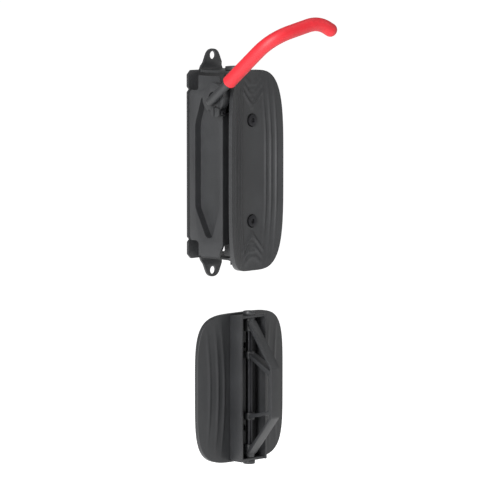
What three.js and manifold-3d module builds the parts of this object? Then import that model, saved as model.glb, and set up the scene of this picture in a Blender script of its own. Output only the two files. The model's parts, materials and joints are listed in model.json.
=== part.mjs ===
// A wall-mounted swing-out bike hanger with a folding hook, and its separate rear tyre rest.
// Millimetres, +Z up, the wall at y = 0, the hanger standing out along -Y.
// "Depth" is the distance out from the wall, so a depth d lies at y = -d.
import * as THREE from 'three';
import { mergeVertices } from 'three/addons/utils/BufferGeometryUtils.js';
import Module from 'manifold-3d';

const wasm = await Module();
wasm.setup();

// ---- driving dimensions ----
const gap = 0.3;              // between touching pieces
const runningGap = 0.5;       // between pieces that turn past each other

const sheet = 3;              // wall plate and lugs
const plateWidth = 75;
const plateHeight = 216;
const plateChamfer = 5;
const notchHeight = 86;       // the small notches in the plate's edges
const earHalfBase = 18;
const earReach = 16;          // hole centre above the plate's edge
const earRadius = 7.5;
const earHoleRadius = 4.75;
const earStep = 2;            // the ears stand this far off the wall

const pivotDepth = 44;        // vertical pivot, out from the wall
const pivotRadius = 5;
const lugHalfWidth = 18;
const lugEnd = 12;            // lug beyond the pivot
const bushWall = 2;
const bushFlange = 1.5;

const channelHalfWidth = 20.5;
const channelSheet = 2.5;
const channelDepth = 18.5;      // flange width of the front channel
const trayBackDepth = 63;     // back of the front tray

const sidePlateX = -38;       // outer face of the side plate
const sideSheet = 3;
const sideRear = 5;           // its edge beside the wall plate
const sideFront = 59;
const sideHalfHeight = 103;
const pocketDepth = 9;
const pocketHalf = 48;        // straight half length of the pocket

const trayThickness = 5;
const frontTray = { halfWidth: 42.5, halfHeight: 117, power: 4, rise: 10 };
const trayCentre = -5;        // height of the front tray's middle
const rearTray = { halfWidth: 70, halfHeight: 87, power: 4.5, rise: 3 };
const trayScrewHeight = 57.5;
const rearScrewHeight = 48;
const screwRadius = 3;
const screwHeadRadius = 6.8;
const screwHeadHeight = 4;

const hubRadius = 17;
const hubThickness = 8.6;
const hubDepth = 52.5;
const hubHeight = 79.1;
const hookBoltRadius = 4;
const boltHeadRadius = 6.5;
const clampDrop = 15.6;       // pinch screw below the hub's centre
const pinchRadius = 2;
const pinchHeadRadius = 3.4;
const rodRadius = 5;
const sleeveRadius = 7.75;

const rearCentre = -254.5;    // height of the rear rest's middle
const rearPlateDepth = 53;    // back of the rear tray, which faces away from the wall
const rearPinOffset = 10.5;   // pin behind the rear tray
const rearPinRadius = 4;
const rearChannelDepth = 18.7;
const rearHalfHeight = 84;
const strapStandOff = 42.5;   // rear pin to the wall face of the strap
const strapWidth = 13.3;
const strapSheet = 3;

// ---- materials ----
const paint = { color: 0x2b2c2e, roughness: 0.5, metalness: 0.4 };
const plastic = { color: 0x303234, roughness: 0.55, metalness: 0 };
const zinc = { color: 0x1c1d1f, roughness: 0.4, metalness: 0.7 };
const nylon = { color: 0xd8d8d2, roughness: 0.5, metalness: 0 };
const rubber = { color: 0xc8202c, roughness: 0.6, metalness: 0 };

// ---- geometry helpers ----
const group = new THREE.Group();

function toSolid(geometry) {
  const bare = geometry.index ? geometry.toNonIndexed() : geometry.clone();
  bare.deleteAttribute('normal');
  bare.deleteAttribute('uv');
  const merged = mergeVertices(bare, 1e-3);
  return new wasm.Manifold(new wasm.Mesh({
    numProp: 3,
    vertProperties: new Float32Array(merged.attributes.position.array),
    triVerts: new Uint32Array(merged.index.array),
  }));
}

function toGeometry(solid) {
  const mesh = solid.getMesh();
  const geometry = new THREE.BufferGeometry();
  geometry.setAttribute('position', new THREE.BufferAttribute(mesh.vertProperties, 3));
  geometry.setIndex(new THREE.BufferAttribute(mesh.triVerts, 1));
  geometry.computeVertexNormals();
  return geometry;
}

function add(name, solid, look) {
  const mesh = new THREE.Mesh(toGeometry(solid), new THREE.MeshStandardMaterial(look));
  mesh.name = name;
  group.add(mesh);
}

const union = (...solids) => solids.reduce((whole, next) => whole.add(next));
const cut = (body, ...tools) => tools.reduce((left, tool) => left.subtract(tool), body);

// A closed outline from corner points [x, y, radius]; a radius rounds that corner.
function outline(corners) {
  const shape = new THREE.Shape();
  const count = corners.length;
  const point = (i) => new THREE.Vector2(...corners[(i + count) % count]);
  for (let i = 0; i < count; i += 1) {
    const here = point(i);
    const radius = corners[i][2] ?? 0;
    const entry = here.clone().add(point(i - 1).sub(here).setLength(radius));
    const exit = here.clone().add(point(i + 1).sub(here).setLength(radius));
    if (i === 0) shape.moveTo(entry.x, entry.y);
    else if (shape.currentPoint.distanceTo(entry) > 1e-3) shape.lineTo(entry.x, entry.y);
    if (radius > 0) shape.quadraticCurveTo(here.x, here.y, exit.x, exit.y);
  }
  return shape;
}

const rectangle = (x0, y0, x1, y1) => outline([[x0, y0], [x1, y0], [x1, y1], [x0, y1]]);

function extrude(shape, length) {
  const options = { depth: length, bevelEnabled: false, curveSegments: 5 };
  return new THREE.ExtrudeGeometry(shape, options);
}

// Outline in X and Z, running out from the wall between two depths.
function facing(shape, depth0, depth1) {
  const body = extrude(shape, depth1 - depth0).translate(0, 0, depth0);
  return toSolid(body.rotateX(Math.PI / 2));
}

// Outline in depth and Z, running along X between two places.
const sideBasis = new THREE.Matrix4().makeBasis(
  new THREE.Vector3(0, -1, 0), new THREE.Vector3(0, 0, 1), new THREE.Vector3(-1, 0, 0));
function sideways(shape, x0, x1) {
  return toSolid(extrude(shape, x1 - x0).applyMatrix4(sideBasis).translate(x1, 0, 0));
}

// Outline in X and depth, rising between two heights.
function rising(shape, z0, z1) {
  const body = extrude(shape, z1 - z0).translate(0, 0, z0);
  const mirrored = body.applyMatrix4(new THREE.Matrix4().makeRotationX(Math.PI));
  return toSolid(mirrored.translate(0, 0, z0 + z1));
}

function cylinder(radius, length, axis, x, depth, z, sides = 24) {
  const body = new THREE.CylinderGeometry(radius, radius, length, sides);
  if (axis === 'x') body.rotateZ(Math.PI / 2);
  if (axis === 'z') body.rotateX(Math.PI / 2);
  return toSolid(body.translate(x, -depth, z));
}

// ---- wall plate: one sheet with two ears, two lugs and stepped ends ----
function wallPlate() {
  const w = plateWidth / 2;
  const h = plateHeight / 2;
  const c = plateChamfer;
  const tip = h + earReach + earRadius;
  const notch = 3;
  const front = outline([
    [-w + c, -h], [-earHalfBase, -h], [-earRadius, -tip, earRadius], [earRadius, -tip, earRadius],
    [earHalfBase, -h], [w - c, -h], [w, -h + c], [w, -notchHeight - notch],
    [w - notch, -notchHeight], [w, -notchHeight + notch], [w, notchHeight - notch],
    [w - notch, notchHeight], [w, notchHeight + notch], [w, h - c], [w - c, h], [earHalfBase, h],
    [earRadius, tip, earRadius], [-earRadius, tip, earRadius], [-earHalfBase, h], [-w + c, h],
    [-w, h - c], [-w, notchHeight + notch], [-w + notch, notchHeight], [-w, notchHeight - notch],
    [-w, -notchHeight + notch], [-w + notch, -notchHeight], [-w, -notchHeight - notch],
    [-w, -h + c],
  ]);
  const low = h + 4;
  const high = low + 4;
  const section = outline([
    [0, -low], [earStep, -high], [earStep, -tip - 1], [earStep + sheet, -tip - 1],
    [earStep + sheet, -high], [sheet, -low], [sheet, low], [earStep + sheet, high],
    [earStep + sheet, tip + 1], [earStep, tip + 1], [earStep, high], [0, low],
  ]);
  const lugLength = pivotDepth + lugEnd;
  const lug = (z0) => cut(
    rising(outline([[-lugHalfWidth, 0], [lugHalfWidth, 0], [lugHalfWidth, lugLength, 12],
      [-lugHalfWidth, lugLength, 12]]), z0, z0 + sheet),
    cylinder(pivotRadius + gap, 4 * sheet, 'z', 0, pivotDepth, z0));
  const window = facing(rectangle(6, -h + sheet + 1, 26, -notchHeight - 2), -1, sheet + 1);
  const hole = (z) => cylinder(earHoleRadius, 20, 'y', 0, earStep, z);
  const flat = facing(front, -1, 10).intersect(sideways(section, -w - 1, w + 1));
  const pierced = cut(flat, window, hole(h + earReach), hole(-h - earReach));
  return union(pierced, lug(h - sheet), lug(-h));
}

// ---- swing frame ----
function pocketOutline(grow) {
  const g = grow;
  return outline([
    [13.4 - g, -pocketHalf, 4], [31 - g, -83 - g, 4.5], [43 + g, -83 - g, 4.5],
    [55 + g, -pocketHalf, 4], [55 + g, pocketHalf, 4], [38 + g, 80 + g, 4], [24 - g, 80 + g, 4],
    [13.4 - g, pocketHalf, 4],
  ]);
}

function sidePlate() {
  const h = sideHalfHeight;
  const rear = 20;
  const x = sidePlateX;
  const blank = outline([
    [sideRear + 3, -notchHeight], [rear, -notchHeight, 5], [rear, -h], [51.5, -h],
    [sideFront, -h + 14], [sideFront, h - 14], [51.5, h], [rear, h], [rear, notchHeight, 5],
    [sideRear + 3, notchHeight], [sideRear, notchHeight - 4], [sideRear, -notchHeight + 4],
  ]);
  const floor = x + pocketDepth;
  const tub = sideways(pocketOutline(1.2), x, floor + 2.5);
  const hollow = sideways(pocketOutline(-1.2), x - 1, floor);
  const returnEdge = sideways(rectangle(sideFront - sideSheet, -h + 15, sideFront, 62),
    x, -channelHalfWidth - gap);
  const bolt = cylinder(hookBoltRadius + gap, 30, 'x', x, hubDepth, hubHeight);
  return cut(union(sideways(blank, x, x + sideSheet), tub, returnEdge), hollow, bolt);
}

const endPlateTop = plateHeight / 2 - sheet - runningGap - bushFlange;

function channel(halfWidth, depth0, depth1, webAtFar, halfHeight, centre) {
  const web = webAtFar ? depth1 - channelSheet : depth0;
  const outer = rising(rectangle(-halfWidth, depth0, halfWidth, depth1),
    centre - halfHeight, centre + halfHeight);
  const inner = halfWidth - channelSheet;
  const from = webAtFar ? depth0 - 1 : web + channelSheet;
  const to = webAtFar ? web : depth1 + 1;
  const hollow = rising(rectangle(-inner, from, inner, to),
    centre - halfHeight - 1, centre + halfHeight + 1);
  return cut(outer, hollow);
}

function swingChannel() {
  const far = trayBackDepth - gap;
  const near = far - channelDepth;
  const tongue = pivotDepth - 11;
  const inner = channelHalfWidth - channelSheet / 2;
  const endPlate = (z) => rising(outline([[-inner, far - 1], [-inner, near], [-11, tongue, 8],
    [11, tongue, 8], [inner, near], [inner, far - 1]].reverse()), z - sheet / 2, z + sheet / 2);
  const middle = endPlateTop - sheet / 2;
  const body = union(channel(channelHalfWidth, near, far, true, endPlateTop, 0),
    endPlate(middle), endPlate(-middle));
  const bore = cylinder(pivotRadius + bushWall + 2 * gap, 3 * plateHeight, 'z', 0, pivotDepth, 0);
  const ends = [1, -1].map((side) => bore.intersect(
    rising(rectangle(-30, 0, 30, 90), middle * side - 4, middle * side + 4)));
  const screwHoles = [1, -1].map((side) => cylinder(screwRadius + gap, 12, 'y', 0,
    far, trayCentre + side * trayScrewHeight));
  const boltHole = cylinder(hookBoltRadius + gap, 12, 'x', -channelHalfWidth, hubDepth, hubHeight);
  return cut(body, ...ends, ...screwHoles, boltHole);
}

function bush(side) {
  const face = endPlateTop * side;
  const flange = cylinder(pivotRadius + 5, bushFlange, 'z', 0, pivotDepth,
    face + side * (bushFlange / 2 + gap / 2));
  const body = cylinder(pivotRadius + bushWall + gap, 6, 'z', 0, pivotDepth, face - side * 2.5);
  const bore = cylinder(pivotRadius + gap, 30, 'z', 0, pivotDepth, face);
  return cut(union(flange, body), bore);
}

// ---- trays: a shallow trough in section, a barrel with round corners from the front ----
function barrel({ halfWidth, halfHeight, power }, centre) {
  const shape = new THREE.Shape();
  const steps = 56;
  for (let i = 0; i < steps; i += 1) {
    const angle = (2 * Math.PI * i) / steps;
    const bend = (value) => Math.sign(value) * Math.abs(value) ** (2 / power);
    const x = halfWidth * bend(Math.cos(angle));
    const z = centre + halfHeight * bend(Math.sin(angle));
    if (i === 0) shape.moveTo(x, z);
    else shape.lineTo(x, z);
  }
  return shape;
}

// facingOut is 1 when the trough opens away from the wall, -1 when it opens towards it.
function tray(size, backDepth, facingOut, centre, screwHeight) {
  const steps = 14;
  const flatHalf = channelHalfWidth / size.halfWidth;
  const depthAt = (share) => {
    const lift = Math.max(0, Math.abs(share) - flatHalf) / (1 - flatHalf);
    return backDepth + facingOut * size.rise * lift ** 1.5;
  };
  const back = [];
  const front = [];
  for (let i = 0; i <= steps; i += 1) {
    const share = -1.02 + (2.04 * i) / steps;
    const x = share * size.halfWidth;
    back.push([x, depthAt(share)]);
    const lift = facingOut * (trayThickness + size.rise * share * share);
    front.unshift([x, Math.abs(share) < 0.97 ? backDepth + lift : depthAt(share)
      + facingOut * trayThickness]);
  }
  const section = outline(facingOut > 0 ? [...back, ...front] : [...back, ...front].reverse());
  const strip = rising(section, centre - size.halfHeight - 2, centre + size.halfHeight + 2);
  const body = strip.intersect(facing(barrel(size, centre), 0, 130));
  const face = backDepth + facingOut * trayThickness;
  const holes = [1, -1].flatMap((side) => {
    const z = centre + side * screwHeight;
    return [
      cylinder(screwRadius + gap, 40, 'y', 0, backDepth, z),
      cylinder(screwHeadRadius + 1, 6, 'y', 0, face + facingOut * 0.4, z),
    ];
  });
  return cut(body, ...holes);
}

function trayScrew(backDepth, facingOut, z, reach) {
  const seat = backDepth + facingOut * (trayThickness - 2.6 + gap);
  const head = cylinder(screwHeadRadius, screwHeadHeight, 'y', 0,
    seat + (facingOut * screwHeadHeight) / 2, z);
  const shank = cylinder(screwRadius, reach, 'y', 0, seat - facingOut * (reach / 2 - 0.5), z);
  const socket = cylinder(3, 5, 'y', 0, seat + facingOut * (screwHeadHeight + 0.6), z, 6);
  return cut(union(head, shank), socket);
}

function trayNut(backDepth, facingOut, z) {
  const height = 4;
  const depth = backDepth - facingOut * (channelSheet + 2 * gap + height / 2);
  const body = cylinder(6, height, 'y', 0, depth, z, 6);
  return cut(body, cylinder(screwRadius + gap, 10, 'y', 0, depth, z));
}

// ---- hook: hub, rod and sleeve ----
const hubFace = sidePlateX - gap - hubThickness;
const hookX = hubFace - gap - rodRadius;
const clampX = hubFace + 3;
const clampDepth = hubDepth + 6;
const hookPoints = [
  [hookX, hubDepth - 1, 73.6], [hookX, 84, 98.5], [hookX, 149.4, 149.6], [5, 167.1, 166.9],
  [21, 170.6, 157.6],
].map(([x, depth, z]) => new THREE.Vector3(x, -depth, z));

// The centre line: straight legs joined by smooth bends.
function hookPath(firstShare, lastShare) {
  const path = new THREE.CurvePath();
  const bend = 26;
  const [root, , elbow, crest, tip] = hookPoints;
  const towards = (from, to, length) => from.clone().add(to.clone().sub(from).setLength(length));
  const a = towards(elbow, root, bend);
  const b = towards(elbow, crest, bend);
  const c = towards(crest, elbow, 14);
  const d = towards(crest, tip, 14);
  path.add(new THREE.LineCurve3(root.clone().lerp(a, firstShare), a));
  path.add(new THREE.QuadraticBezierCurve3(a, elbow, b));
  path.add(new THREE.LineCurve3(b, c));
  path.add(new THREE.QuadraticBezierCurve3(c, crest, d));
  path.add(new THREE.LineCurve3(d, d.clone().lerp(tip, lastShare)));
  return path;
}

const sleeveStart = 0.37;
function bar(radius, firstShare, lastShare, steps) {
  const shape = new THREE.Shape();
  const sides = 14;
  for (let i = 0; i < sides; i += 1) {
    const angle = (2 * Math.PI * i) / sides;
    const x = radius * Math.cos(angle);
    const y = radius * Math.sin(angle);
    if (i === 0) shape.moveTo(x, y);
    else shape.lineTo(x, y);
  }
  const extrudePath = hookPath(firstShare, lastShare);
  return toSolid(new THREE.ExtrudeGeometry(shape, { steps, extrudePath, bevelEnabled: false }));
}

function roundEnd(point, radius) {
  return toSolid(new THREE.SphereGeometry(radius, 14, 10).translate(point.x, point.y, point.z));
}

function hookHub() {
  const middle = sidePlateX - gap - hubThickness / 2;
  const disc = cylinder(hubRadius, hubThickness, 'x', middle, hubDepth, hubHeight, 40);
  const z = hubHeight - clampDrop;
  const lug = sideways(outline([[clampDepth - 6.5, z - 5, 4], [clampDepth + 6.5, z - 5, 4],
    [clampDepth + 6.5, z + 5, 3], [clampDepth - 6.5, z + 5, 3]]), hubFace - 3, hubFace + hubThickness);
  const slit = sideways(rectangle(clampDepth - 2, z - 8, clampDepth - 0.5, z + 7),
    hubFace - 5, hubFace + 6);
  const bore = cylinder(hookBoltRadius + gap, 30, 'x', middle, hubDepth, hubHeight);
  const seat = cylinder(boltHeadRadius + 0.6, 5, 'x', hubFace + 2.4, hubDepth, hubHeight);
  const pinch = cylinder(pinchRadius + gap, 40, 'y', clampX, clampDepth, z, 12);
  const heads = [9.5, -9.5].map((side) => cylinder(pinchHeadRadius + gap, 8, 'y', clampX,
    clampDepth + side, z, 12));
  return cut(union(disc, lug), slit, bore, seat, pinch, ...heads);
}

function pinchScrew() {
  const z = hubHeight - clampDrop;
  const head = cylinder(pinchHeadRadius, 3, 'y', clampX, clampDepth + 7.3, z, 12);
  const shank = cylinder(pinchRadius, 16.5, 'y', clampX, clampDepth - 0.25, z, 12);
  return cut(union(head, shank), cylinder(1.4, 3, 'y', clampX, clampDepth + 9.3, z, 6));
}

// ---- rear rest ----
const rearPinDepth = rearPlateDepth + rearPinOffset;
const wallFaceDepth = rearPinDepth + strapStandOff;

function knuckle(z0, z1) {
  return cylinder(rearPinRadius + gap + 2, z1 - z0, 'z', 0, rearPinDepth, (z0 + z1) / 2);
}

function pinBore() {
  return cylinder(rearPinRadius + gap, 3 * rearHalfHeight, 'z', 0, rearPinDepth, rearCentre);
}

const strapTop = rearCentre + 27;
const strapBottom = rearCentre - 31;
const endInset = rearHalfHeight - sheet - runningGap;

function rearStrap() {
  const d = rearPinDepth + 4.5;
  const top = rearCentre + endInset - 8;
  const bottom = rearCentre - endInset + 8;
  const band = outline([[d, top + 5], [d, top - 1], [wallFaceDepth - strapSheet, strapTop - 1.5, 2],
    [wallFaceDepth - strapSheet, strapBottom + 1.5, 2], [d, bottom + 1], [d, bottom - 5],
    [wallFaceDepth, strapBottom, 2], [wallFaceDepth, strapTop, 2]].reverse());
  const strip = sideways(band, -strapWidth / 2, strapWidth / 2);
  const ends = union(knuckle(top - 7, top + 8), knuckle(bottom - 8, bottom + 7));
  return cut(union(strip, ends), pinBore());
}

function rearBrace() {
  const d = rearPinDepth + 4.5;
  const far = wallFaceDepth - strapSheet - gap;
  const upper = rearCentre + 38;
  const lower = rearCentre - 33;
  const half = strapWidth / 2 - 1;
  const band = outline([[d, upper + 2], [d, upper - 2], [far - 3, strapTop - 10, 2],
    [far - 3, strapBottom + 8, 2], [d, lower + 2], [d, lower - 2], [far, strapBottom + 4, 2],
    [far, strapTop - 4, 2]].reverse());
  const ends = union(knuckle(upper - 4, upper + 4), knuckle(lower - 4, lower + 4));
  return cut(union(sideways(band, -half, half), ends), pinBore());
}

function rearChannel() {
  const near = rearPlateDepth + gap;
  const far = near + rearChannelDepth;
  const inner = channelHalfWidth - channelSheet / 2;
  const body = channel(channelHalfWidth, near, far, false, rearHalfHeight, rearCentre);
  const endPlate = (z) => rising(rectangle(-inner, near + 1, inner, far - 2), z - sheet, z);
  const holes = [1, -1].map((side) => cylinder(screwRadius + gap, 12, 'y', 0, near,
    rearCentre + side * rearScrewHeight));
  const top = rearCentre + rearHalfHeight;
  const bottom = rearCentre - rearHalfHeight;
  return cut(union(body, endPlate(top), endPlate(bottom + sheet)), pinBore(), ...holes);
}

// ---- assembly ----
const half = plateHeight / 2;
add('wall_plate', wallPlate(), paint);
add('pivot_pin', cylinder(pivotRadius, plateHeight + 10, 'z', 0, pivotDepth, -2), zinc);
add('pivot_cap', cut(cylinder(13.5, 4.5, 'z', 0, pivotDepth, half + gap + 2.25, 32),
  cylinder(pivotRadius + gap, 7, 'z', 0, pivotDepth, half)), plastic);
add('pivot_washer', cut(cylinder(10, 1.5, 'z', 0, pivotDepth, -half - gap - 0.75),
  cylinder(pivotRadius + gap, 9, 'z', 0, pivotDepth, -half)), zinc);
add('pivot_nut', cut(cylinder(8, 4.5, 'z', 0, pivotDepth, -half - 2 * gap - 3.75, 6),
  cylinder(pivotRadius + gap, 20, 'z', 0, pivotDepth, -half)), zinc);

add('side_plate', sidePlate(), paint);
add('swing_channel', swingChannel(), paint);
add('bush_top', bush(1), nylon);
add('bush_bottom', bush(-1), nylon);
add('front_tray', tray(frontTray, trayBackDepth, 1, trayCentre, trayScrewHeight), plastic);
for (const [name, side] of [['upper', 1], ['lower', -1]]) {
  const z = trayCentre + side * trayScrewHeight;
  add(`tray_screw_${name}`, trayScrew(trayBackDepth, 1, z, 13), zinc);
  add(`tray_nut_${name}`, trayNut(trayBackDepth, 1, z), zinc);
}

const spacerFrom = sidePlateX + sideSheet + gap;
const spacerTo = -channelHalfWidth - gap;
const spacerMiddle = (spacerFrom + spacerTo) / 2;
add('hook_spacer', cut(
  cylinder(6.5, spacerTo - spacerFrom, 'x', spacerMiddle, hubDepth, hubHeight),
  cylinder(hookBoltRadius + gap, 40, 'x', spacerMiddle, hubDepth, hubHeight)), zinc);
const boltEnd = -channelHalfWidth + channelSheet + 7;
const boltStart = hubFace + 0.8;
add('hook_bolt', union(
  cylinder(boltHeadRadius, 3.6, 'x', boltStart + 1.8, hubDepth, hubHeight),
  cylinder(hookBoltRadius, boltEnd - boltStart, 'x', (boltStart + boltEnd) / 2,
    hubDepth, hubHeight)), zinc);
const nutX = -channelHalfWidth + channelSheet + gap + 3;
add('hook_nut', cut(cylinder(6.5, 6, 'x', nutX, hubDepth, hubHeight, 6),
  cylinder(hookBoltRadius + gap, 20, 'x', nutX, hubDepth, hubHeight)), zinc);

add('hook_hub', hookHub(), plastic);
add('pinch_screw', pinchScrew(), zinc);
const pinchNutDepth = clampDepth - 7.1;
const pinchHeight = hubHeight - clampDrop;
add('pinch_nut', cut(
  cylinder(pinchHeadRadius, 2.6, 'y', clampX, pinchNutDepth, pinchHeight, 6),
  cylinder(pinchRadius + gap, 9, 'y', clampX, pinchNutDepth, pinchHeight, 12)), zinc);
add('hook_rod', bar(rodRadius, 0, 0.75, 40), zinc);
const sleeve = cut(
  union(bar(sleeveRadius, sleeveStart, 1, 36), roundEnd(hookPoints[4], sleeveRadius)),
  bar(rodRadius + gap, 0.1, 0.85, 40));
add('hook_sleeve', sleeve, rubber);

add('rear_strap', rearStrap(), paint);
add('rear_brace', rearBrace(), paint);
add('rear_pin', cylinder(rearPinRadius, 2 * rearHalfHeight + 6, 'z', 0, rearPinDepth, rearCentre),
  zinc);
for (const [name, side] of [['top', 1], ['bottom', -1]]) {
  const z = rearCentre + side * (rearHalfHeight + gap + 2);
  add(`rear_pin_cap_${name}`, cut(cylinder(7, 4, 'z', 0, rearPinDepth, z),
    cylinder(rearPinRadius + gap, 4, 'z', 0, rearPinDepth, z - side * 0.7)), plastic);
}
add('rear_channel', rearChannel(), paint);
add('rear_tray', tray(rearTray, rearPlateDepth, -1, rearCentre, rearScrewHeight), plastic);
for (const [name, side] of [['upper', 1], ['lower', -1]]) {
  const z = rearCentre + side * rearScrewHeight;
  add(`rear_screw_${name}`, trayScrew(rearPlateDepth, -1, z, 8), zinc);
}

export default group;
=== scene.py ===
import json
import math

import bmesh
import bpy
from mathutils import Matrix, Vector


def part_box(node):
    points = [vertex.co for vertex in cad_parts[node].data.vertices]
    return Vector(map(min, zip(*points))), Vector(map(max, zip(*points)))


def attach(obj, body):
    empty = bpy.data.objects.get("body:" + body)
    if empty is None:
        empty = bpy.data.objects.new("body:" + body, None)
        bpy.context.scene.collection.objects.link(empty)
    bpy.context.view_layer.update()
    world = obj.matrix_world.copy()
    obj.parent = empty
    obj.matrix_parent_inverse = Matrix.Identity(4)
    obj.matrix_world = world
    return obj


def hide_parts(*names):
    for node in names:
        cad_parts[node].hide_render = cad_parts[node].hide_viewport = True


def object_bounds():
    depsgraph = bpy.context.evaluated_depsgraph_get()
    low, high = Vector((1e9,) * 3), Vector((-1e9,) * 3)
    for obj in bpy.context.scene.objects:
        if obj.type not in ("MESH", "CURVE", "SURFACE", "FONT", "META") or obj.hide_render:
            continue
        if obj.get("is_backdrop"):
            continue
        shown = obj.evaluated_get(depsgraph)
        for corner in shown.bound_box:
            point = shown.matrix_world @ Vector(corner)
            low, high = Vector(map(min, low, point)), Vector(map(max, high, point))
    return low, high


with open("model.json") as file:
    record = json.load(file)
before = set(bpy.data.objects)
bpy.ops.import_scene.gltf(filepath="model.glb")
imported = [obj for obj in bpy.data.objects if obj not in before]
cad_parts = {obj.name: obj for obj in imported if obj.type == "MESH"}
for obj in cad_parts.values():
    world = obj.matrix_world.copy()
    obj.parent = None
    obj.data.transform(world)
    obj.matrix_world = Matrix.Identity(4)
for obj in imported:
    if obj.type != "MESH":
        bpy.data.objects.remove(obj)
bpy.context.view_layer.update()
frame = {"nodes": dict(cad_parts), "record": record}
MM = 0.001

# ---- finish and moulding values ----
SPECULAR_LEVEL = 0.35
NOISE_LOW, NOISE_HIGH = 0.3, 0.7        # the part of the noise that is stretched to full range
RAMP_DARK, RAMP_LIGHT = 0.35, 0.68
SLOW_SCALE = 35.0                       # colour variation, in features per metre
SLOW_DETAIL, GRAIN_DETAIL = 4.0, 6.0
ROUGHNESS_SWING = 0.07
GRAIN_STRENGTH = 0.5

BEVELLED_ANGLE = math.radians(38)       # edges sharper than this are rounded
SHARP_ANGLE = math.radians(40)          # and shading breaks above this
MOULDED_ANGLE = math.radians(42)
ROUND_BAR_ANGLE = math.radians(50)

TRAY_THICKNESS = 5.0 * MM
TRAY_FLAT_SHARE = 0.47                  # of the half width, flat behind
TRAY_RIM_ROUND = 1.2 * MM
TRAY_EDGE_ROUND = 1.8 * MM
FRONT_POWER, FRONT_RISE = 4.0, 10.0 * MM
REAR_POWER, REAR_RISE = 4.5, 3.0 * MM
FRONT_RELIEF_HEIGHT, REAR_RELIEF_HEIGHT = 1.5 * MM, 1.0 * MM

ROD_RADIUS = 5.0 * MM
ROD_LEAD_IN = 1.1 * MM
ROD_SHOWN = 60 * MM                     # the rod ends inside the sleeve
SLEEVE_RADIUS, SLEEVE_BORE = 7.75 * MM, 5.3 * MM
SLEEVE_START = 39.5 * MM                # along the hook's centre line
SLEEVE_LIP = 1.2 * MM
ELBOW_BEND, CREST_BEND = 26 * MM, 14 * MM


# ---- material helpers ----
def new_material(name, color, roughness, metallic=0.0):
    """A material with its shader's even values set; returns (material, nodes, links, shader)."""
    material = bpy.data.materials.new(name)
    material.use_nodes = True
    nodes, links = material.node_tree.nodes, material.node_tree.links
    shader = nodes["Principled BSDF"]
    shader.inputs["Base Color"].default_value = (*color, 1)
    shader.inputs["Roughness"].default_value = roughness
    shader.inputs["Metallic"].default_value = metallic
    shader.inputs["Specular IOR Level"].default_value = SPECULAR_LEVEL
    return material, nodes, links, shader


def noise(nodes, links, scale, detail, roughness=0.6):
    """Object-space noise; scale is in features per metre."""
    coordinates = nodes.new("ShaderNodeTexCoord")
    texture = nodes.new("ShaderNodeTexNoise")
    texture.inputs["Scale"].default_value = scale
    texture.inputs["Detail"].default_value = detail
    texture.inputs["Roughness"].default_value = roughness
    links.new(coordinates.outputs["Object"], texture.inputs["Vector"])
    return texture.outputs["Fac"]


def remap(nodes, links, value, low, high):
    node = nodes.new("ShaderNodeMapRange")
    node.inputs["From Min"].default_value = NOISE_LOW
    node.inputs["From Max"].default_value = NOISE_HIGH
    node.inputs["To Min"].default_value = low
    node.inputs["To Max"].default_value = high
    links.new(value, node.inputs["Value"])
    return node.outputs["Result"]


def blend_color(nodes, links, factor, dark, light):
    ramp = nodes.new("ShaderNodeValToRGB")
    ramp.color_ramp.elements[0].position = RAMP_DARK
    ramp.color_ramp.elements[0].color = (*dark, 1)
    ramp.color_ramp.elements[1].position = RAMP_LIGHT
    ramp.color_ramp.elements[1].color = (*light, 1)
    links.new(factor, ramp.inputs["Fac"])
    return ramp.outputs["Color"]


def bump(nodes, links, shader, height, strength, distance):
    node = nodes.new("ShaderNodeBump")
    node.inputs["Strength"].default_value = strength
    node.inputs["Distance"].default_value = distance
    links.new(height, node.inputs["Height"])
    links.new(node.outputs["Normal"], shader.inputs["Normal"])


def textured(name, color, spread, roughness, metallic, grain, grain_depth):
    """Fine grain in the surface, slow colour variation and uneven roughness."""
    material, nodes, links, shader = new_material(name, color, roughness, metallic)
    slow = noise(nodes, links, SLOW_SCALE, SLOW_DETAIL)
    fine = noise(nodes, links, grain, GRAIN_DETAIL)
    dark = tuple(c * (1 - spread) for c in color)
    light = tuple(c * (1 + spread) for c in color)
    links.new(blend_color(nodes, links, slow, dark, light), shader.inputs["Base Color"])
    rough = remap(nodes, links, fine, roughness - ROUGHNESS_SWING, roughness + ROUGHNESS_SWING)
    links.new(rough, shader.inputs["Roughness"])
    bump(nodes, links, shader, fine, GRAIN_STRENGTH, grain_depth)
    return material


def rubber_material():
    """Grained rubber with a faint sheen."""
    material = textured("red_rubber", (0.36, 0.006, 0.012), 0.12, 0.5, 0.0, 1500.0, 0.00018)
    shader = material.node_tree.nodes["Principled BSDF"]
    shader.inputs["Sheen Weight"].default_value = 0.06
    shader.inputs["Sheen Roughness"].default_value = 0.5
    shader.inputs["Sheen Tint"].default_value = (1.0, 0.25, 0.28, 1)
    return material


MATERIALS = {
    "painted_steel": textured("powder_coat", (0.013, 0.0135, 0.0145), 0.15, 0.46, 0.0,
                              2600.0, 0.00012),
    "black_plastic": textured("moulded_nylon", (0.014, 0.0145, 0.0155), 0.12, 0.44, 0.0,
                              1800.0, 0.00008),
    "black_zinc": textured("black_oxide", (0.016, 0.016, 0.018), 0.25, 0.34, 0.7, 900.0, 0.00004),
    "nylon": textured("natural_nylon", (0.62, 0.61, 0.56), 0.05, 0.45, 0.0, 1200.0, 0.00005),
    "red_rubber": rubber_material(),
}
SLOT_OF = {row["node"]: row["material_slot"] for row in frame["record"]["subparts"]}


# ---- piece helpers ----
def finish_piece(obj, node, *more_nodes):
    """Gives a piece its slot's material and its body, and hides the CAD nodes that it stands for.
    """
    slot = SLOT_OF[node]
    obj.data.materials.clear()
    obj.data.materials.append(MATERIALS[slot])
    body = next(name for name, members in frame["record"]["behaviour"]["bodies"].items()
                if node in members)
    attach(obj, body)
    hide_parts(node, *more_nodes)


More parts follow.
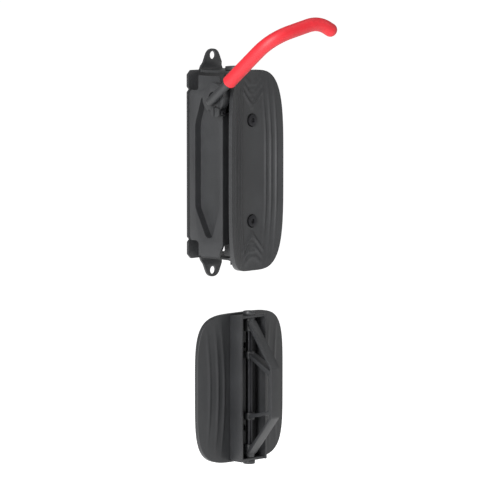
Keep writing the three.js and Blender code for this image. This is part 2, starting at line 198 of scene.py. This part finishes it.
def mesh_object(name, work):
    """An object from a bmesh, in the row frame."""
    mesh = bpy.data.meshes.new(name)
    work.normal_update()
    work.to_mesh(mesh)
    work.free()
    obj = bpy.data.objects.new(name, mesh)
    bpy.context.scene.collection.objects.link(obj)
    return obj


def shade(obj, angle):
    """Smooth shading, kept sharp where faces meet at more than the angle."""
    for polygon in obj.data.polygons:
        polygon.use_smooth = True
    work = bmesh.new()
    work.from_mesh(obj.data)
    for edge in work.edges:
        sharp = len(edge.link_faces) == 2 and edge.calc_face_angle(0) > angle
        edge.smooth = not sharp
    work.to_mesh(obj.data)
    work.free()


def softened(node, width):
    """The CAD solid with its flat faces joined up and every hard edge rounded."""
    work = bmesh.new()
    work.from_mesh(frame["nodes"][node].data)
    bmesh.ops.remove_doubles(work, verts=work.verts, dist=1e-6)
    bmesh.ops.dissolve_limit(work, angle_limit=math.radians(1), verts=work.verts,
                             edges=work.edges)
    hard = [edge for edge in work.edges
            if len(edge.link_faces) == 2 and edge.calc_face_angle(0) > BEVELLED_ANGLE]
    bmesh.ops.bevel(work, geom=hard, offset=width, segments=2, profile=0.6, affect="EDGES",
                    clamp_overlap=True)
    piece = mesh_object(f"{node}_finished", work)
    shade(piece, SHARP_ANGLE)
    finish_piece(piece, node)
    return piece


# ---- trays: a closed shell on a polar grid, with the moulded level lines as real relief ----
def ridge(distance, width):
    """A smooth moulded rib, 1 at its crest and 0 beyond its width."""
    return math.exp(-((distance / width) ** 2))


def front_relief(x, z, size_x, size_z):
    """Height of the front tray's ribs in metres: nested V's at the ends, lines at the sides."""
    u, v = x / size_x, z / size_z
    line_width, vee_width = 0.032, 0.018
    first_apex, apex_step, slope = 0.62, 0.085, 0.42
    first_reach, reach_step = 0.42, 0.05
    height = 0.0
    spread = 0.16 * max(0.0, abs(v) - 0.30) ** 1.5
    for line in (0.46, 0.62, 0.78):
        offset = abs(u) - line + spread * (1.6 - line) * 1.6
        height += ridge(offset, line_width) * (0.25 + 0.75 * (1 - v * v))
    for step in range(3):
        vee = abs(v) - (first_apex + apex_step * step) - slope * abs(u)
        reach = max(0.0, 1 - (abs(u) / (first_reach - reach_step * step)) ** 4)
        height += 1.2 * ridge(vee, vee_width) * reach
    return height * FRONT_RELIEF_HEIGHT


def rear_relief(x, z, size_x, size_z):
    """Long shallow ribs beside the rear tray's channel, fading to the ends."""
    u, v = x / size_x, z / size_z
    fade = max(0.0, 1 - (abs(v) / 0.92) ** 2)
    height = 0.0
    for line in (0.42, 0.56, 0.74):
        height += ridge(abs(u) - line - 0.10 * v * v, 0.028)
    return height * fade * REAR_RELIEF_HEIGHT


def superellipse(angle, power):
    def bend(value):
        return math.copysign(abs(value) ** (2 / power), value)

    return bend(math.cos(angle)), bend(math.sin(angle))


def tray_piece(node, power, rise, facing_out, relief, holes):
    """One tray, from its CAD box. facing_out is 1 when it opens along -Y."""
    low, high = (Vector(corner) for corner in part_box(node))
    middle_x, middle_z = (low.x + high.x) / 2, (low.z + high.z) / 2
    half_x, half_z = (high.x - low.x) / 2, (high.z - low.z) / 2
    back = high.y if facing_out > 0 else low.y
    around, rings = 192, 64

    def back_level(share_x):
        lift = max(0.0, abs(share_x) - TRAY_FLAT_SHARE) / (1 - TRAY_FLAT_SHARE)
        return rise * lift ** 1.5

    def surface(x, z, front, inset):
        share = x / half_x
        level = TRAY_THICKNESS + rise * share * share if front else back_level(share)
        if front and relief is front_relief:
            level += relief(x, z, half_x, half_z) * inset
        if relief is rear_relief:
            level += (-1 if not front else 1) * relief(x, z, half_x, half_z) * inset * 0.9
        return Vector((middle_x + x, back - facing_out * level, middle_z + z))

    work = bmesh.new()

    def grid(front):
        rows = []
        for ring in range(1, rings + 1):
            share = ring / rings
            flat = share ** 0.85
            fade = max(0.0, min(1.0, (1 - share) / 0.10))
            row = []
            for step in range(around):
                ex, ez = superellipse(2 * math.pi * step / around, 2 + (power - 2) * share)
                shrink = 1 - TRAY_EDGE_ROUND / half_x * max(0.0, (share - 0.97) / 0.03) * 0.5
                x, z = half_x * ex * flat * shrink, half_z * ez * flat * shrink
                row.append(work.verts.new(surface(x, z, front, fade)))
            rows.append(row)
        centre = work.verts.new(surface(0, 0, front, 1))
        return centre, rows

    def stitch(centre, rows, flip):
        for step in range(around):
            follow = (step + 1) % around
            face = (centre, rows[0][step], rows[0][follow])
            work.faces.new(face[::-1] if flip else face)
            for inner, outer in zip(rows, rows[1:]):
                quad = (inner[step], outer[step], outer[follow], inner[follow])
                work.faces.new(quad[::-1] if flip else quad)

    front_centre, front_rows = grid(True)
    back_centre, back_rows = grid(False)
    outward = facing_out > 0
    stitch(front_centre, front_rows, not outward)
    stitch(back_centre, back_rows, outward)
    for step in range(around):
        follow = (step + 1) % around
        a, b = front_rows[-1][step], front_rows[-1][follow]
        c, d = back_rows[-1][follow], back_rows[-1][step]
        work.faces.new((a, b, c, d) if not outward else (d, c, b, a))
    bmesh.ops.recalc_face_normals(work, faces=work.faces)
    rim = [edge for edge in work.edges
           if edge.verts[0] in front_rows[-1] + back_rows[-1]
           and edge.verts[1] in front_rows[-1] + back_rows[-1]
           and edge.calc_face_angle(0) > SHARP_ANGLE]
    bmesh.ops.bevel(work, geom=rim, offset=TRAY_RIM_ROUND, segments=3, profile=0.6, affect="EDGES",
                    clamp_overlap=True)
    piece = mesh_object(f"{node}_moulded", work)
    for polygon in piece.data.polygons:
        polygon.use_smooth = True
    for radius, y0, y1, z in holes:
        drill(piece, radius, Vector((middle_x, (y0 + y1) / 2, z)), abs(y1 - y0))
    shade(piece, MOULDED_ANGLE)
    finish_piece(piece, node)
    return piece


Y_TURN = Matrix.Rotation(math.pi / 2, 3, "X")


def drill(piece, radius, centre, length):
    """Cuts a round hole along Y."""
    work = bmesh.new()
    bmesh.ops.create_cone(work, cap_ends=True, segments=64, radius1=radius, radius2=radius,
                          depth=length)
    bmesh.ops.rotate(work, verts=work.verts, matrix=Y_TURN)
    bmesh.ops.translate(work, verts=work.verts, vec=centre)
    tool = mesh_object("drill", work)
    modifier = piece.modifiers.new("drill", "BOOLEAN")
    modifier.operation = "DIFFERENCE"
    modifier.solver = "EXACT"
    modifier.object = tool
    apply_modifiers(piece)
    bpy.data.objects.remove(tool)


def apply_modifiers(piece):
    graph = bpy.context.evaluated_depsgraph_get()
    mesh = bpy.data.meshes.new_from_object(piece.evaluated_get(graph))
    piece.modifiers.clear()
    piece.data = mesh


def counterbores(screw_nodes, facing_out):
    """A round seat for each screw's head, sized from the screw: (radius, y, y, z)."""
    side_gap, head_height, past_face, under_head = 1.0 * MM, 4.0 * MM, 6 * MM, 0.3 * MM
    found = []
    for node in screw_nodes:
        low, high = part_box(node)
        z = (low[2] + high[2]) / 2
        head = (high[0] - low[0]) / 2 + side_gap
        outer = low[1] if facing_out > 0 else high[1]
        seat = outer + facing_out * head_height
        found.append((head, outer - facing_out * past_face, seat + facing_out * under_head, z))
    return found


# ---- the hook: one smooth bar, and the rubber sleeve over it ----
def hook_line():
    """Corner points of the hook's centre line, as the CAD frame has them, in metres."""
    points = [(-52.2, 51.5, 73.6), (-52.2, 149.4, 149.6), (5, 167.1, 166.9), (21, 170.6, 157.6)]
    return [Vector((x, -depth, z)) * MM for x, depth, z in points]


def smooth_route():
    """Evenly spaced points along the legs and their bends."""
    root, elbow, crest, tip = hook_line()

    def towards(start, goal, length):
        return start + (goal - start).normalized() * length

    a, b = towards(elbow, root, ELBOW_BEND), towards(elbow, crest, ELBOW_BEND)
    c, d = towards(crest, elbow, CREST_BEND), towards(crest, tip, CREST_BEND)
    dense = [root.lerp(a, i / 120) for i in range(120)]
    dense += [(1 - t) ** 2 * a + 2 * t * (1 - t) * elbow + t * t * b
              for t in (i / 60 for i in range(60))]
    dense += [b.lerp(c, i / 40) for i in range(40)]
    dense += [(1 - t) ** 2 * c + 2 * t * (1 - t) * crest + t * t * d
              for t in (i / 40 for i in range(40))]
    dense += [d.lerp(tip, i / 10) for i in range(11)]
    return dense


def swept(name, points, radii, sides=40):
    """A closed round bar along points, with a radius for each; ends close to a point."""
    work = bmesh.new()
    side = Vector((1, 0, 0))
    rows = []
    for index, (point, radius) in enumerate(zip(points, radii)):
        ahead = points[min(index + 1, len(points) - 1)]
        behind = points[max(index - 1, 0)]
        along = (ahead - behind).normalized()
        side = (side - along * side.dot(along)).normalized()
        across = along.cross(side)
        rows.append([work.verts.new(point + radius * (
            side * math.cos(2 * math.pi * k / sides) + across * math.sin(2 * math.pi * k / sides)))
            for k in range(sides)])
    for near, far in zip(rows, rows[1:]):
        for k in range(sides):
            work.faces.new((near[k], near[(k + 1) % sides], far[(k + 1) % sides], far[k]))
    work.faces.new(rows[0][::-1])
    work.faces.new(rows[-1])
    bmesh.ops.recalc_face_normals(work, faces=work.faces)
    piece = mesh_object(name, work)
    shade(piece, ROUND_BAR_ANGLE)
    return piece


def measured(points):
    """Distance along the points, from the first."""
    total = [0.0]
    for near, far in zip(points, points[1:]):
        total.append(total[-1] + (far - near).length)
    return total


def hook_sleeve():
    radius = SLEEVE_RADIUS
    lip_length, end_steps, lip_offset = 1.6 * MM, 16, 0.05 * MM
    route = smooth_route()
    along = measured(route)
    tip_extra = radius * 0.96
    first = next(point for point, s in zip(route, along) if s >= SLEEVE_START)
    points = [first, first + (route[1] - route[0]).normalized() * lip_offset]
    radii = [SLEEVE_BORE, radius - SLEEVE_LIP]
    for point, s in zip(route, along):
        if s <= SLEEVE_START:
            continue
        lead = min(1.0, (s - SLEEVE_START) / lip_length)
        points.append(point)
        radii.append(radius - SLEEVE_LIP * (1 - math.sqrt(1 - (1 - lead) ** 2)))
    end, direction = route[-1], (route[-1] - route[-2]).normalized()
    for step in range(1, end_steps + 1):
        angle = math.pi / 2 * step / (end_steps + 0.5)
        points.append(end + direction * tip_extra * math.sin(angle))
        radii.append(radius * math.cos(angle))
    piece = swept("hook_sleeve_moulded", points, radii, 48)
    finish_piece(piece, "hook_sleeve")


def hook_rod():
    route = smooth_route()
    along = measured(route)
    lead_length = 1.4 * MM
    shown = [(point, s) for point, s in zip(route, along) if s <= ROD_SHOWN]
    points = [point for point, s in shown]
    radii = [ROD_RADIUS - ROD_LEAD_IN * (1 - min(1.0, s / lead_length)) for point, s in shown]
    piece = swept("hook_rod_drawn", points, radii, 40)
    finish_piece(piece, "hook_rod")


# ---- pieces ----
front_screws = ("tray_screw_upper", "tray_screw_lower")
rear_screws = ("rear_screw_upper", "rear_screw_lower")
tray_piece("front_tray", FRONT_POWER, FRONT_RISE, 1, front_relief, counterbores(front_screws, 1))
tray_piece("rear_tray", REAR_POWER, REAR_RISE, -1, rear_relief, counterbores(rear_screws, -1))
hook_sleeve()
hook_rod()

FINE_EDGE, SHEET_EDGE, MOULDED_EDGE = 0.25 * MM, 0.5 * MM, 0.8 * MM
EDGES = {"black_zinc": FINE_EDGE, "painted_steel": SHEET_EDGE, "black_plastic": MOULDED_EDGE,
         "nylon": FINE_EDGE}
done = {"front_tray", "rear_tray", "hook_sleeve", "hook_rod"}
for node in frame["nodes"]:
    if node not in done:
        softened(node, EDGES[SLOT_OF[node]])


# ---- setting, light and camera ----
def floor():
    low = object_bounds()[0]
    floor_drop, floor_half = 0.25, 60
    work = bmesh.new()
    bmesh.ops.create_grid(work, x_segments=1, y_segments=1, size=floor_half)
    bmesh.ops.translate(work, verts=work.verts, vec=(0, 0, low[2] - floor_drop))
    obj = mesh_object("floor", work)
    material, _, _, shader = new_material("pale_floor", (0.93, 0.93, 0.93), 0.9)
    shader.inputs["Emission Color"].default_value = (1, 1, 1, 1)
    shader.inputs["Emission Strength"].default_value = 0.68
    obj.data.materials.append(material)
    obj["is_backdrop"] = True


def area_light(name, place, aim, size, power):
    data = bpy.data.lights.new(name, "AREA")
    data.shape = "RECTANGLE"
    data.size, data.size_y = size
    data.energy = power
    light = bpy.data.objects.new(name, data)
    bpy.context.scene.collection.objects.link(light)
    light.location = place
    light.rotation_euler = (Vector(aim) - Vector(place)).to_track_quat("-Z", "Y").to_euler()


def studio():
    world = bpy.data.worlds.new("studio")
    bpy.context.scene.world = world
    world.use_nodes = True
    world.node_tree.nodes["Background"].inputs["Color"].default_value = (1, 1, 1, 1)
    world.node_tree.nodes["Background"].inputs["Strength"].default_value = 0.40
    middle = (0, -0.06, -0.05)
    area_light("key", (1.5, -1.9, 1.3), middle, (0.9, 1.6), 14)
    area_light("left_fill", (-1.9, -0.7, 0.5), middle, (0.5, 1.8), 95)
    area_light("top", (0.0, -0.3, 2.0), middle, (1.5, 1.5), 10)


def camera():
    data = bpy.data.cameras.new("camera")
    data.sensor_width = 36
    data.lens = 270
    data.clip_end = 100
    eye = bpy.data.objects.new("camera", data)
    bpy.context.scene.collection.objects.link(eye)
    azimuth, elevation, distance = math.radians(-45), math.radians(6.13), 4.117
    aim = Vector((0.0166, -0.0298, -0.0869))
    backwards = Vector((math.sin(azimuth) * math.cos(elevation),
                        -math.cos(azimuth) * math.cos(elevation), math.sin(elevation)))
    eye.location = aim + backwards * distance
    eye.rotation_euler = backwards.to_track_quat("Z", "Y").to_euler()
    bpy.context.scene.camera = eye


floor()
studio()
camera()
bpy.context.scene.view_settings.view_transform = "Standard"
